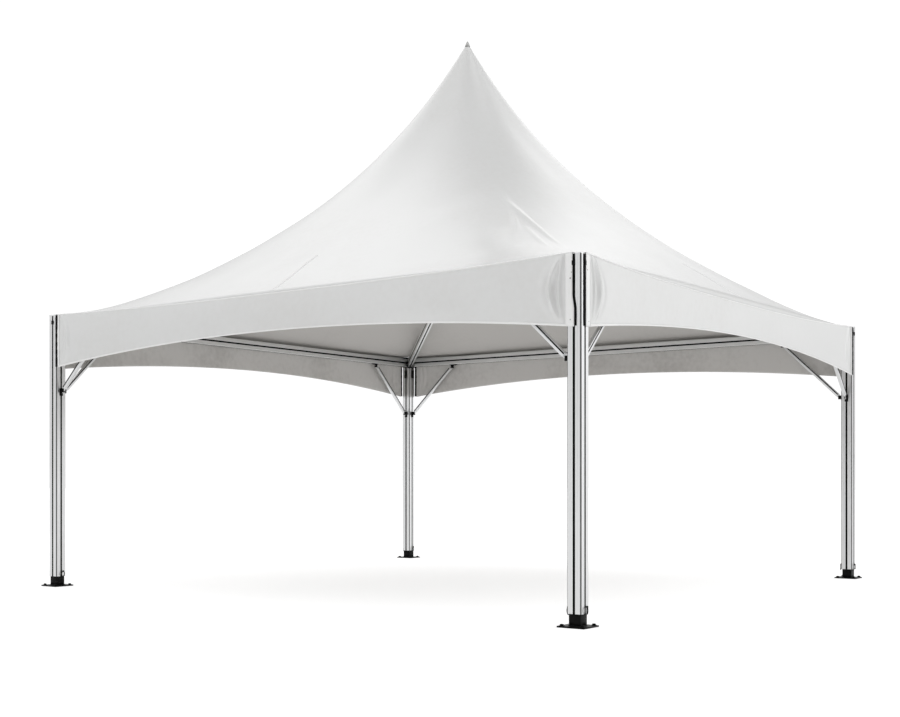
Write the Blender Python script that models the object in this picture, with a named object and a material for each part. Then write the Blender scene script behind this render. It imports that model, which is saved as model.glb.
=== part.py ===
"""High peak frame marquee on a square plan, five metres between leg axes.

Four slotted aluminium legs stand on black steel base plates. Eave beams join
the leg heads, knee braces stiffen the corners, and four hip rafters carry a
crown hub and a king post, which pushes the roof skin up to a point. A valance
with an arched lower edge hangs on each side, drawn tight between the legs. At the
front right corner the skin laps the leg as far as its slots, and at the others it
stops beside the leg.

Frame of reference: metres, +Z up, the origin on the ground at the middle of
the plan, the front side towards -Y and the right side towards +X.
"""

import math

import bmesh
import bpy
from mathutils import Matrix, Vector

# Plan and heights
SPAN = 5.000
HALF = SPAN / 2
EAVE_Z = 2.295
PEAK_Z = 4.750
CROWN_Z = 3.000
GAP = 0.0003

# Legs
LEG_SIDE = 0.100
LEG_HALF = LEG_SIDE / 2
LEG_CHAMFER = 0.008
LEG_CORE = 0.071
SLOT_WIDTH = 0.015
SLOT_DEPTH = 0.0115

# Feet
PLATE_SIDE = 0.190
PLATE_THICK = 0.010
BOX_SIDE = 0.082
BOX_TOP = 0.083
SPIGOT_SIDE = 0.070
SPIGOT_TOP = 0.235
ANCHOR_PITCH = 0.144
ANCHOR_HEAD_R = 0.012
ANCHOR_HEAD_RISE = 0.0115
ANCHOR_WASHER_R = 0.017
ANCHOR_WASHER_RISE = 0.0025
PIN_Z = 0.125
PIN_SIDE_OFFSET = 0.020
PIN_R = 0.006
PIN_TAIL = 0.018
PIN_KNOB_R = 0.012
PIN_KNOB_LENGTH = 0.014
PIN_KNOB_TAPER = 0.6
PIN_RING_R = 0.028
PIN_RING_WIRE = 0.0025
PIN_RING_HANG = math.radians(70)
PIN_RING_TWIST = math.radians(60)

# Fabric, given a wall that is thicker than the real skin
SKIN = 0.005
VALANCE_DEEP = 0.455
VALANCE_SHALLOW = 0.310
FLAP_END = HALF - SLOT_WIDTH / 2 - 0.0025
SHORT_END = HALF - LEG_HALF - 0.022
FABRIC_OUT = HALF + LEG_HALF + GAP + SKIN

# The roof's curve
SPIRE_SHARE = 0.532
SPIRE_REACH = 0.341
PEAK_SQUARENESS = 3.88
EAVE_SQUARENESS = 2.81

# Heads of the legs
HEAD_TOP = EAVE_Z - SKIN - GAP
CAP_THICK = 0.005
LEG_TOP = HEAD_TOP - CAP_THICK - GAP
PLUG_SIDE = 0.070
PLUG_LENGTH = 0.140
CLEAT_THICK = 0.005
CLEAT_BOTTOM = 2.095
CLEAT_FACE = LEG_HALF + GAP + CLEAT_THICK
SHELF_LENGTH = 0.070
SHELF_MARGIN = 0.004
GUSSET_MARGIN = 0.010
LUG_HALF_WIDTH = 0.010
LUG_FACE = 0.106
LUG_DROP = 0.055
LUG_RISE = 0.035
SEAT_THICK = 0.006
SEAT_HALF_WIDTH = 0.028
# Faces that would lie in one plane are set this far apart before they are joined
STEP = 0.001

# Eave beams
BEAM_WIDTH = 0.070
BEAM_HEIGHT = 0.085
BEAM_TOP = 2.270
BEAM_BOTTOM = BEAM_TOP - BEAM_HEIGHT
BEAM_HALF_LENGTH = HALF - CLEAT_FACE - GAP
BEAM_SLOT_WIDTH = 0.014
BEAM_SLOT_DEPTH = 0.011
BEAM_WALL = 0.003
EDGE_CHAMFER = 0.002
RAIL_THICK = 0.006
RAIL_TOP = HEAD_TOP

# Hip rafters and the crown
RAFTER_WIDTH = 0.050
RAFTER_HEIGHT = 0.078
RAFTER_SLOT_WIDTH = 0.012
RAFTER_SLOT_DEPTH = 0.009
RAFTER_WALL = 0.003
RAFTER_LOW_Z = 2.222
HUB_HALF = 0.075
HUB_BOTTOM = 2.925
HUB_TOP = 3.045
SOCKET_OUTER_R = 0.042
SOCKET_TOP = 3.150

# King post and peak
POST_R = 0.0325
HEAD_R = 0.080
HEAD_MARGIN = 0.006
HEAD_RIM = 0.012
HEAD_NECK = 0.060
RING_R = 0.014
CAP_R = 0.022
CAP_WALL = 0.004
CAP_LIFT = 0.002
CAP_PIN_R = 0.006
CAP_INNER_SHARE = 0.62
CAP_TIP_SHARE = 0.2
CAP_TIP_Z = PEAK_Z + 0.010

# Knee braces
BRACE_R = 0.0155
BRACE_FOOT_Z = 1.632
BRACE_RUN = 0.575
BRACE_PLATE_THICK = 0.006
BRACE_PLATE_LENGTH = 0.080
BRACE_PLATE_WIDTH = 0.036

CORNERS = ("front_right", "back_right", "back_left", "front_left")
SIDES = ("front", "right", "back", "left")

COLOURS = {
    "leg_aluminium": ((0.74, 0.75, 0.76, 1), 0.28, 1.0),
    "frame_aluminium": ((0.66, 0.67, 0.67, 1), 0.36, 1.0),
    "black_steel": ((0.018, 0.019, 0.020, 1), 0.42, 0.6),
    "brace_aluminium": ((0.60, 0.61, 0.62, 1), 0.34, 1.0),
    "roof_fabric": ((0.84, 0.84, 0.84, 1), 0.36, 0.0),
    "valance_fabric": ((0.82, 0.82, 0.82, 1), 0.40, 0.0),
    "cap_plastic": ((0.55, 0.55, 0.55, 1), 0.45, 0.0),
}


def make_material(name):
    colour, roughness, metallic = COLOURS[name]
    material = bpy.data.materials.new(name)
    material.use_nodes = True
    shader = material.node_tree.nodes["Principled BSDF"]
    shader.inputs["Base Color"].default_value = colour
    shader.inputs["Roughness"].default_value = roughness
    shader.inputs["Metallic"].default_value = metallic
    material.diffuse_color = colour
    return material


# Bodies as bmeshes

def box(low, high):
    bm = bmesh.new()
    bmesh.ops.create_cube(bm, size=1.0)
    size = Vector(high) - Vector(low)
    middle = (Vector(high) + Vector(low)) / 2
    bmesh.ops.scale(bm, vec=size, verts=bm.verts)
    bmesh.ops.translate(bm, vec=middle, verts=bm.verts)
    return bm


def prism(outline, start, end):
    """Extrudes a closed outline of points from one offset to another."""
    bm = bmesh.new()
    verts = [bm.verts.new(Vector(point) + Vector(start)) for point in outline]
    face = bm.faces.new(verts)
    # A lone face stays where it was when it is extruded, so the body is closed
    moved = bmesh.ops.extrude_face_region(bm, geom=[face])["geom"]
    tops = [item for item in moved if isinstance(item, bmesh.types.BMVert)]
    bmesh.ops.translate(bm, vec=Vector(end) - Vector(start), verts=tops)
    bmesh.ops.recalc_face_normals(bm, faces=bm.faces)
    return bm


def turned(profile, segments, axis="Z"):
    """Spins a profile of (radius, height) pairs that starts and ends on the axis."""
    bm = bmesh.new()
    verts = [bm.verts.new((radius, 0.0, height)) for radius, height in profile]
    edges = [bm.edges.new(pair) for pair in zip(verts, verts[1:])]
    bmesh.ops.spin(
        bm,
        geom=verts + edges,
        cent=(0, 0, 0),
        axis=(0, 0, 1),
        angle=2 * math.pi,
        steps=segments,
        use_merge=True,
    )
    bmesh.ops.remove_doubles(bm, verts=bm.verts, dist=1e-6)
    bmesh.ops.recalc_face_normals(bm, faces=bm.faces)
    if axis == "X":
        bmesh.ops.rotate(bm, matrix=Matrix.Rotation(math.pi / 2, 3, "Y"), verts=bm.verts)
    return bm


def rod(start, end, radius, segments=12):
    """A round bar between two points."""
    start, end = Vector(start), Vector(end)
    bm = bmesh.new()
    bmesh.ops.create_cone(
        bm,
        cap_ends=True,
        segments=segments,
        radius1=radius,
        radius2=radius,
        depth=(end - start).length,
    )
    turn = (end - start).to_track_quat("Z", "Y").to_matrix().to_4x4()
    bm.transform(Matrix.Translation((start + end) / 2) @ turn)
    return bm


def ring(centre, radius, wire, normal, segments=14, sides=6):
    """A closed ring of wire round an axis through its centre."""
    bm = bmesh.new()
    circle = bmesh.ops.create_circle(bm, segments=sides, radius=wire)["verts"]
    bmesh.ops.rotate(bm, matrix=Matrix.Rotation(math.pi / 2, 3, "X"), verts=circle)
    bmesh.ops.translate(bm, vec=(radius, 0, 0), verts=circle)
    bmesh.ops.spin(
        bm,
        geom=bm.verts[:] + bm.edges[:],
        cent=(0, 0, 0),
        axis=(0, 0, 1),
        angle=2 * math.pi,
        steps=segments,
        use_merge=True,
    )
    bmesh.ops.remove_doubles(bm, verts=bm.verts, dist=1e-6)
    bmesh.ops.recalc_face_normals(bm, faces=bm.faces)
    turn = Vector(normal).to_track_quat("Z", "Y").to_matrix().to_4x4()
    bm.transform(Matrix.Translation(centre) @ turn)
    return bm


def mesh_from(bm, name):
    mesh = bpy.data.meshes.new(name)
    bm.to_mesh(mesh)
    bm.free()
    return mesh


def combined(name, first, joined=(), cut=()):
    """One mesh: the first body with others joined to it, and others cut from it."""
    base = bpy.data.objects.new(name, mesh_from(first, name))
    bpy.context.collection.objects.link(base)
    helpers = []
    steps = [("UNION", body) for body in joined] + [("DIFFERENCE", body) for body in cut]
    for operation, body in steps:
        helper = bpy.data.objects.new(name + "_helper", mesh_from(body, name + "_helper"))
        bpy.context.collection.objects.link(helper)
        helper.hide_render = True
        helper.display_type = "WIRE"
        helpers.append(helper)
        modifier = base.modifiers.new(operation.lower(), "BOOLEAN")
        modifier.operation = operation
        modifier.object = helper
        modifier.solver = "EXACT"
    bpy.context.view_layer.update()
    depsgraph = bpy.context.evaluated_depsgraph_get()
    mesh = bpy.data.meshes.new_from_object(base.evaluated_get(depsgraph))
    mesh.name = name
    for item in helpers + [base]:
        bpy.data.objects.remove(item)
    return mesh


def place(name, mesh, material, quarter=0, offset=(0, 0, 0), half_turn=False):
    """Puts a copy of a mesh at an offset, turned by quarter turns round the plan's middle."""
    item = bpy.data.objects.new(name, mesh)
    bpy.context.collection.objects.link(item)
    angle = quarter * math.pi / 2
    item.location = Matrix.Rotation(angle, 3, "Z") @ Vector(offset)
    item.rotation_euler = (0, 0, angle + (math.pi if half_turn else 0))
    if not mesh.materials:
        mesh.materials.append(material)
    return item


# Sections of the aluminium profiles

def slotted_outline(width, height, slot_width, slot_depth, chamfer, rail=0.0):
    """Outline in the plane of (u, v) with a slot in the middle of each face.

    A rail stands up from the -u end of the top face, where the roof skin turns down.
    """
    half_u, half_v, half_slot = width / 2, height / 2, slot_width / 2
    top_left = [(-half_u + chamfer, half_v), (-half_u, half_v - chamfer)]
    if rail:
        top_left = [
            (-half_u + RAIL_THICK, half_v),
            (-half_u + RAIL_THICK, half_v + rail),
            (-half_u, half_v + rail),
        ]
    return [
        (-half_u, half_slot),
        (-half_u + slot_depth, half_slot),
        (-half_u + slot_depth, -half_slot),
        (-half_u, -half_slot),
        (-half_u, -half_v + chamfer),
        (-half_u + chamfer, -half_v),
        (-half_slot, -half_v),
        (-half_slot, -half_v + slot_depth),
        (half_slot, -half_v + slot_depth),
        (half_slot, -half_v),
        (half_u - chamfer, -half_v),
        (half_u, -half_v + chamfer),
        (half_u, -half_slot),
        (half_u - slot_depth, -half_slot),
        (half_u - slot_depth, half_slot),
        (half_u, half_slot),
        (half_u, half_v - chamfer),
        (half_u - chamfer, half_v),
        (half_slot, half_v),
        (half_slot, half_v - slot_depth),
        (-half_slot, half_v - slot_depth),
        (-half_slot, half_v),
    ] + top_left


# The roof surface

def level(x, y):
    """0 at the peak and 1 all along the eave, with contours that are rounded squares."""
    u, v = abs(x) / FABRIC_OUT, abs(y) / FABRIC_OUT
    power = PEAK_SQUARENESS + (EAVE_SQUARENESS - PEAK_SQUARENESS) * max(u, v)
    return (u**power + v**power - (u * v) ** power) ** (1 / power)


def roof_height(x, y):
    """Height of the skin's outer face: a straight slope and a hollow spire, added up."""
    s = min(level(x, y), 1.0)
    spire = math.exp(-s / SPIRE_REACH) - s * math.exp(-1 / SPIRE_REACH)
    rise = (1 - SPIRE_SHARE) * (1 - s) + SPIRE_SHARE * spire
    return EAVE_Z + (PEAK_Z - EAVE_Z) * rise


def roof_underside(x, y):
    """The skin's inner face straight below, which ends flat on the rails and leg heads."""
    step = 0.002
    reach = FABRIC_OUT - step
    x0, y0 = max(-reach, min(reach, x)), max(-reach, min(reach, y))
    along_x = (roof_height(x0 + step, y0) - roof_height(x0 - step, y0)) / (2 * step)
    along_y = (roof_height(x0, y0 + step) - roof_height(x0, y0 - step)) / (2 * step)
    wall = SKIN * math.sqrt(1 + along_x**2 + along_y**2)
    return max(roof_height(x, y) - wall, EAVE_Z - SKIN)


def closed_sheet(outer, inner):
    """A closed wall between two grids of points, each a list of rows."""
    bm = bmesh.new()
    rows, columns = len(outer), len(outer[0])
    top = [[bm.verts.new(point) for point in row] for row in outer]
    low = [[bm.verts.new(point) for point in row] for row in inner]
    for i in range(rows - 1):
        for j in range(columns - 1):
            bm.faces.new((top[i][j], top[i][j + 1], top[i + 1][j + 1], top[i + 1][j]))
            bm.faces.new((low[i][j], low[i + 1][j], low[i + 1][j + 1], low[i][j + 1]))
    border = [(0, j) for j in range(columns)]
    border += [(i, columns - 1) for i in range(1, rows)]
    border += [(rows - 1, j) for j in range(columns - 2, -1, -1)]
    border += [(i, 0) for i in range(rows - 2, 0, -1)]
    for (i, j), (m, n) in zip(border, border[1:] + border[:1]):
        bm.faces.new((top[i][j], low[i][j], low[m][n], top[m][n]))
    bmesh.ops.recalc_face_normals(bm, faces=bm.faces)
    return bm


def spread(left, right, columns):
    return [-left + (left + right) * j / columns for j in range(columns + 1)]


def roof_panel_mesh(left, right):
    """The front panel, between two hips, from the peak ring to the eave.

    It stops at the given distances from the middle, where it makes room for the legs.
    """
    rows, columns = 16, 12
    start = CAP_R * 1.3
    distances = [RING_R, (RING_R + start) / 2]
    distances += [start + (SHORT_END - start) * (i / rows) ** 1.6 for i in range(rows + 1)]
    distances += [FLAP_END, HALF + LEG_HALF / 2, FABRIC_OUT]
    outer, inner = [], []
    for distance in distances:
        width = spread(min(distance, left) - GAP, min(distance, right) - GAP, columns)
        outer.append([(x, -distance, roof_height(x, -distance)) for x in width])
        inner.append([(x, -distance, roof_underside(x, -distance)) for x in width])
    return mesh_from(closed_sheet(outer, inner), "roof_panel")


def valance_mesh(left, right):
    """The front band, hung in the plane of the legs' outer faces, shallower in mid-span."""
    top = EAVE_Z - SKIN - GAP
    outer, inner = [], []
    for share in (0, 1):
        rows = []
        for x in spread(left, right, 24):
            arch = (x / FLAP_END) ** 2
            depth = VALANCE_SHALLOW + (VALANCE_DEEP - VALANCE_SHALLOW) * arch
            rows.append((x, top + share * (EAVE_Z - depth - top)))
        outer.append([(x, -FABRIC_OUT, z) for x, z in rows])
        inner.append([(x, -FABRIC_OUT + SKIN, z) for x, z in rows])
    return mesh_from(closed_sheet(outer, inner), "valance")


# The frame's pieces, each round the axis of its leg or the middle of its side

def base_plate_mesh():
    half, half_box, half_spigot = PLATE_SIDE / 2, BOX_SIDE / 2, SPIGOT_SIDE / 2
    plate = box((-half, -half, 0), (half, half, PLATE_THICK))
    joined = [
        box((-half_box, -half_box, PLATE_THICK / 2), (half_box, half_box, BOX_TOP)),
        box((-half_spigot, -half_spigot, PLATE_THICK), (half_spigot, half_spigot, SPIGOT_TOP)),
    ]
    pitch = ANCHOR_PITCH / 2
    for x, y in ((-pitch, -pitch), (pitch, -pitch), (pitch, pitch), (-pitch, pitch)):
        under = (x, y, PLATE_THICK / 2)
        washer_top = (x, y, PLATE_THICK + ANCHOR_WASHER_RISE)
        head_top = (x, y, PLATE_THICK + ANCHOR_HEAD_RISE)
        joined.append(rod(under, washer_top, ANCHOR_WASHER_R))
        joined.append(rod(under, head_top, ANCHOR_HEAD_R, 6))
    hole = rod((-half, PIN_SIDE_OFFSET, PIN_Z), (half, PIN_SIDE_OFFSET, PIN_Z), PIN_R + GAP)
    return combined("base_plate", plate, joined, [hole])


def leg_mesh():
    outline = slotted_outline(LEG_SIDE, LEG_SIDE, SLOT_WIDTH, SLOT_DEPTH, LEG_CHAMFER)
    post = prism([(u, v, 0) for u, v in outline], (0, 0, BOX_TOP + GAP), (0, 0, LEG_TOP))
    half = LEG_CORE / 2
    core = box((-half, -half, 0), (half, half, EAVE_Z))
    hole = rod(
        (-LEG_SIDE, PIN_SIDE_OFFSET, PIN_Z),
        (LEG_SIDE, PIN_SIDE_OFFSET, PIN_Z),
        PIN_R + GAP,
    )
    return combined("leg", post, cut=[core, hole])


def foot_pin_mesh():
    """The pin through the leg and its spigot, with a knob and a pull ring outside."""
    face = LEG_HALF + GAP
    profile = [
        (0, -face - PIN_TAIL),
        (PIN_R, -face - PIN_TAIL),
        (PIN_R, face),
        (PIN_KNOB_R, face),
        (PIN_KNOB_R, face + PIN_KNOB_LENGTH * 0.7),
        (PIN_KNOB_R * PIN_KNOB_TAPER, face + PIN_KNOB_LENGTH),
        (0, face + PIN_KNOB_LENGTH),
    ]
    shaft = turned(profile, 12, axis="X")
    # The ring hangs from its hole in the pin's tail and swings towards the front
    across = Vector((math.cos(PIN_RING_TWIST), math.sin(PIN_RING_TWIST), 0))
    hole = Vector((-face - PIN_TAIL * 0.75, 0, 0))
    drop = PIN_RING_R * math.sin(PIN_RING_HANG)
    centre = hole - across * PIN_RING_R * math.cos(PIN_RING_HANG) - Vector((0, 0, drop))
    pull = ring(centre, PIN_RING_R, PIN_RING_WIRE, across.cross((0, 0, 1)))
    for body in (shaft, pull):
        bmesh.ops.translate(body, vec=(0, PIN_SIDE_OFFSET, PIN_Z), verts=body.verts)
    return combined("foot_pin", shaft, [pull])


def corner_bracket_mesh():
    """Cap and plug in the leg's head, cleats on its two inner faces, and the rafter's lug."""
    face, beam_half, plug_half = LEG_HALF + GAP, BEAM_WIDTH / 2, PLUG_SIDE / 2
    shelf_top = BEAM_BOTTOM - GAP
    shelf_end = CLEAT_FACE + SHELF_LENGTH
    shelf_half = beam_half - SHELF_MARGIN
    cap = box(
        (-CLEAT_FACE + STEP, -LEG_HALF, HEAD_TOP - CAP_THICK),
        (LEG_HALF, CLEAT_FACE - STEP, HEAD_TOP),
    )
    cleats = prism(
        [
            (-face, -beam_half, 0),
            (-face, face, 0),
            (beam_half, face, 0),
            (beam_half, CLEAT_FACE, 0),
            (-CLEAT_FACE, CLEAT_FACE, 0),
            (-CLEAT_FACE, -beam_half, 0),
        ],
        (0, 0, CLEAT_BOTTOM),
        (0, 0, HEAD_TOP - STEP),
    )
    plug_bottom = HEAD_TOP - CAP_THICK - PLUG_LENGTH
    inner = CLEAT_FACE - CLEAT_THICK / 2
    web = CLEAT_THICK / 2
    web_foot, web_top = CLEAT_BOTTOM + GUSSET_MARGIN, shelf_top - 2 * STEP
    web_end = shelf_end - GUSSET_MARGIN
    lug_low, lug_high = RAFTER_LOW_Z - LUG_DROP, RAFTER_LOW_Z + LUG_RISE
    lug_start = face * math.sqrt(2) + 2 * STEP
    towards_middle = Matrix.Rotation(math.radians(135), 4, "Z")
    lug = box(
        (lug_start, -LUG_HALF_WIDTH, lug_low + STEP),
        (LUG_FACE - STEP, LUG_HALF_WIDTH, lug_high - STEP),
    )
    seat_start = LUG_FACE - SEAT_THICK
    seat = box((seat_start, -SEAT_HALF_WIDTH, lug_low), (LUG_FACE, SEAT_HALF_WIDTH, lug_high))
    for body in (lug, seat):
        body.transform(towards_middle)
    joined = [
        box((-plug_half, -plug_half, plug_bottom), (plug_half, plug_half, HEAD_TOP - 2 * STEP)),
        cleats,
        box((-shelf_end, -shelf_half, shelf_top - CLEAT_THICK), (-inner, shelf_half, shelf_top)),
        box((-shelf_half, inner, shelf_top - CLEAT_THICK), (shelf_half, shelf_end, shelf_top)),
        prism(
            [
                (-inner, -web, web_foot),
                (-inner, -web, web_top),
                (-web_end, -web, web_top),
            ],
            (0, 0, 0),
            (0, 2 * web, 0),
        ),
        prism(
            [
                (-web, inner, web_foot),
                (-web, inner, web_top),
                (-web, web_end, web_top),
            ],
            (0, 0, 0),
            (2 * web, 0, 0),
        ),
        lug,
        seat,
    ]
    return combined("corner_bracket", cap, joined)


def eave_beam_mesh():
    outline = slotted_outline(
        BEAM_WIDTH,
        BEAM_HEIGHT,
        BEAM_SLOT_WIDTH,
        BEAM_SLOT_DEPTH,
        EDGE_CHAMFER,
        rail=RAIL_TOP - BEAM_TOP,
    )
    middle = (BEAM_TOP + BEAM_BOTTOM) / 2
    beam = prism(
        [(0, u, v + middle) for u, v in outline],
        (-BEAM_HALF_LENGTH, 0, 0),
        (BEAM_HALF_LENGTH, 0, 0),
    )
    across = BEAM_WIDTH / 2 - BEAM_SLOT_DEPTH - BEAM_WALL
    upright = BEAM_HEIGHT / 2 - BEAM_SLOT_DEPTH - BEAM_WALL
    core = box((-SPAN, -across, middle - upright), (SPAN, across, middle + upright))
    return combined("eave_beam", beam, cut=[core])


def knee_brace_mesh():
    """A round stay from the leg's inner face up to the beam, with a plate at each end."""
    face_x = HALF - LEG_HALF - GAP
    top_z = BEAM_BOTTOM - GAP
    head_x = face_x - BRACE_RUN
    half_length, half_width = BRACE_PLATE_LENGTH / 2, BRACE_PLATE_WIDTH / 2
    foot = box(
        (face_x - BRACE_PLATE_THICK, -half_width, BRACE_FOOT_Z - half_length),
        (face_x, half_width, BRACE_FOOT_Z + half_length),
    )
    head = box(
        (head_x - half_length, -half_width, top_z - BRACE_PLATE_THICK),
        (head_x + half_length, half_width, top_z),
    )
    # The bar's square ends would reach past the plates, so they are trimmed flush
    sunk, beyond = BRACE_PLATE_THICK / 2, 0.2
    stay = rod((face_x - sunk, 0, BRACE_FOOT_Z), (head_x, 0, top_z - sunk), BRACE_R)
    low, high = BRACE_FOOT_Z - beyond, BRACE_FOOT_Z + beyond
    trim_leg = box((face_x, -beyond, low), (face_x + beyond, beyond, high))
    trim_beam = box((head_x - beyond, -beyond, top_z), (head_x + beyond, beyond, top_z + beyond))
    return combined("knee_brace", foot, [stay, head], [trim_leg, trim_beam])


def hip_rafter_mesh():
    """Runs along +X here, from the crown hub out to the leg's lug, with upright ends."""
    low_end = HALF * math.sqrt(2) - LUG_FACE - GAP
    high_end = HUB_HALF + GAP
    fall = (CROWN_Z - RAFTER_LOW_Z) / low_end
    outline = slotted_outline(
        RAFTER_WIDTH,
        RAFTER_HEIGHT,
        RAFTER_SLOT_WIDTH,
        RAFTER_SLOT_DEPTH,
        EDGE_CHAMFER,
    )
    start = (high_end, 0, CROWN_Z - fall * high_end)
    end = (low_end, 0, RAFTER_LOW_Z)
    rafter = prism([(0, u, v) for u, v in outline], start, end)
    across = RAFTER_WIDTH / 2 - RAFTER_SLOT_DEPTH - RAFTER_WALL
    upright = RAFTER_HEIGHT / 2 - RAFTER_SLOT_DEPTH - RAFTER_WALL
    hollow = [(-across, -upright), (across, -upright), (across, upright), (-across, upright)]
    beyond = 0.1
    core = prism(
        [(0, u, v) for u, v in hollow],
        (start[0] - beyond, 0, start[2] + fall * beyond),
        (end[0] + beyond, 0, end[2] - fall * beyond),
    )
    return combined("hip_rafter", rafter, cut=[core])


def crown_hub_mesh():
    """A block with a face for each rafter and a round socket for the king post."""
    block = box((-HUB_HALF, -HUB_HALF, HUB_BOTTOM), (HUB_HALF, HUB_HALF, HUB_TOP))
    block.transform(Matrix.Rotation(math.pi / 4, 4, "Z"))
    sunk, beyond = 0.02, 0.05
    socket = rod((0, 0, HUB_TOP - sunk), (0, 0, SOCKET_TOP), SOCKET_OUTER_R, 24)
    bore = rod((0, 0, HUB_TOP), (0, 0, SOCKET_TOP + beyond), POST_R + 2 * GAP, 24)
    return combined("crown_hub", block, [socket], [bore])


def king_post_mesh():
    """A round post whose flared head follows the inside of the roof's peak."""
    def inside(radius):
        return roof_underside(radius, 0) - HEAD_MARGIN

    neck, rim = inside(HEAD_R) - HEAD_NECK, inside(HEAD_R) - HEAD_RIM
    profile = [(0, HUB_TOP + GAP), (POST_R, HUB_TOP + GAP), (POST_R, neck), (HEAD_R, rim)]
    profile += [(HEAD_R * share, inside(HEAD_R * share)) for share in (1, 0.72, 0.5, 0.34, 0.22)]
    profile += [(0, profile[-1][1])]
    return mesh_from(turned(profile, 24), "king_post"), profile[-1][1]


def peak_cap_mesh(post_top):
    """A small cone over the ring in the skin, with a pin down to the king post."""
    def outside(radius):
        return roof_height(radius / math.sqrt(2), radius / math.sqrt(2)) + CAP_LIFT

    inner_r = CAP_R * CAP_INNER_SHARE
    under = [(inner_r, outside(inner_r)), (CAP_R, outside(CAP_R))]
    profile = [(0, post_top + GAP), (CAP_PIN_R, post_top + GAP), (CAP_PIN_R, under[0][1])]
    profile += under
    profile += [
        (CAP_R, under[-1][1] + CAP_WALL),
        (inner_r, (under[-1][1] + CAP_TIP_Z) / 2 + CAP_WALL),
        (CAP_R * CAP_TIP_SHARE, CAP_TIP_Z - STEP),
        (0, CAP_TIP_Z),
    ]
    return mesh_from(turned(profile, 20), "peak_cap")


def build():
    for item in list(bpy.data.objects):
        bpy.data.objects.remove(item)
    materials = {name: make_material(name) for name in COLOURS}
    leg_axis, side_middle = Vector((HALF, -HALF, 0)), (0, -HALF, 0)

    brackets = corner_bracket_mesh()
    upright_pieces = (
        ("base_plate", base_plate_mesh(), "black_steel"),
        ("foot_pin", foot_pin_mesh(), "black_steel"),
        ("leg", leg_mesh(), "leg_aluminium"),
    )
    for quarter, corner in enumerate(CORNERS):
        spot = Matrix.Rotation(quarter * math.pi / 2, 3, "Z") @ leg_axis
        # All the pins are pushed in from the same side, so the legs aren't turned
        for piece, mesh, finish in upright_pieces:
            place(f"{piece}_{corner}", mesh, materials[finish], 0, spot)
        place(f"corner_bracket_{corner}", brackets, materials["black_steel"], quarter, leg_axis)

    beam, brace = eave_beam_mesh(), knee_brace_mesh()
    # How far the skin reaches to either side of each side's middle
    reaches = ((SHORT_END, FLAP_END), (FLAP_END, SHORT_END), (SHORT_END, SHORT_END))
    panels = [roof_panel_mesh(*reach) for reach in reaches]
    valances = [valance_mesh(*reach) for reach in reaches]
    for quarter, side in enumerate(SIDES):
        kind = min(quarter, 2)
        place(f"eave_beam_{side}", beam, materials["frame_aluminium"], quarter, side_middle)
        place(f"valance_{side}", valances[kind], materials["valance_fabric"], quarter)
        place(f"canopy_panel_{side}", panels[kind], materials["roof_fabric"], quarter)
        far_end, near_end = SIDES[(quarter + 1) % 4], SIDES[(quarter + 3) % 4]
        finish = materials["brace_aluminium"]
        place(f"knee_brace_{side}_{far_end}", brace, finish, quarter, side_middle)
        place(f"knee_brace_{side}_{near_end}", brace, finish, quarter, side_middle, True)

    rafter = hip_rafter_mesh()
    for quarter, corner in enumerate(CORNERS):
        item = place(f"hip_rafter_{corner}", rafter, materials["frame_aluminium"], quarter)
        item.rotation_euler.z -= math.pi / 4

    place("crown_hub", crown_hub_mesh(), materials["black_steel"])
    post, post_top = king_post_mesh()
    place("king_post", post, materials["frame_aluminium"])
    place("peak_cap", peak_cap_mesh(post_top), materials["cap_plastic"])


build()
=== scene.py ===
# %% [markdown]
# # The looks of a high peak frame marquee
#
# The frame of the tent, its legs, beams and stays, comes in ready made as a set of solids at
# their real sizes. This lesson dresses it: one smooth skin for the roof, four hanging bands,
# bars with the slots and rounded edges of real profiles, and the finish of every surface.
# Read the cells from top to bottom; each says what the piece is on a real tent, what other
# ways there are to make it, and why this one was taken.

# %% Load the frame
import math

import bmesh
import bpy
from mathutils import Matrix, Vector, noise


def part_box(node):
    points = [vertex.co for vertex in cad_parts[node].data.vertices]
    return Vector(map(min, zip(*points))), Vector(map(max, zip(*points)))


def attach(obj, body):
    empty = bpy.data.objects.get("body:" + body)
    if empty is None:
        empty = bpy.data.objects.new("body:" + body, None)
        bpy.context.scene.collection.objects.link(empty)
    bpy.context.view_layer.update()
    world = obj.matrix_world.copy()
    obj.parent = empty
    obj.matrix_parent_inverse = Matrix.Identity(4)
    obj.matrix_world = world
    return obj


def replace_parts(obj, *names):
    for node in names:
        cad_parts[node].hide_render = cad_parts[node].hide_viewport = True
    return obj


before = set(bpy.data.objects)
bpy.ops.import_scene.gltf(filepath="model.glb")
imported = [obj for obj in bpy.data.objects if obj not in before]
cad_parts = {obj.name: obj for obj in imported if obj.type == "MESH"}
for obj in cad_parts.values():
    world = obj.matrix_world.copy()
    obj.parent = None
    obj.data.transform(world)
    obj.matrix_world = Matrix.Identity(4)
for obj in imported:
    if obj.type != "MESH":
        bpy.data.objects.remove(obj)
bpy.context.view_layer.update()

# %% [markdown]
# The plan is a square, so nearly everything is made once, for the front side or the
# front right corner, and turned by quarter turns. The sizes that the new pieces have to meet
# are read from the solids, and the few that shape the roof's curve are stated here.

# %% Sizes of the frame
CORNERS = ("front_right", "back_right", "back_left", "front_left")
SIDES = ("front", "right", "back", "left")
# At the front right corner the skin laps the leg, and at the others it stops beside it
LAPS = ("right", "left", None, None)

leg_low, leg_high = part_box("leg_front_right")
band_low, band_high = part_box("valance_front")
beam_low, beam_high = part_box("eave_beam_front")

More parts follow.
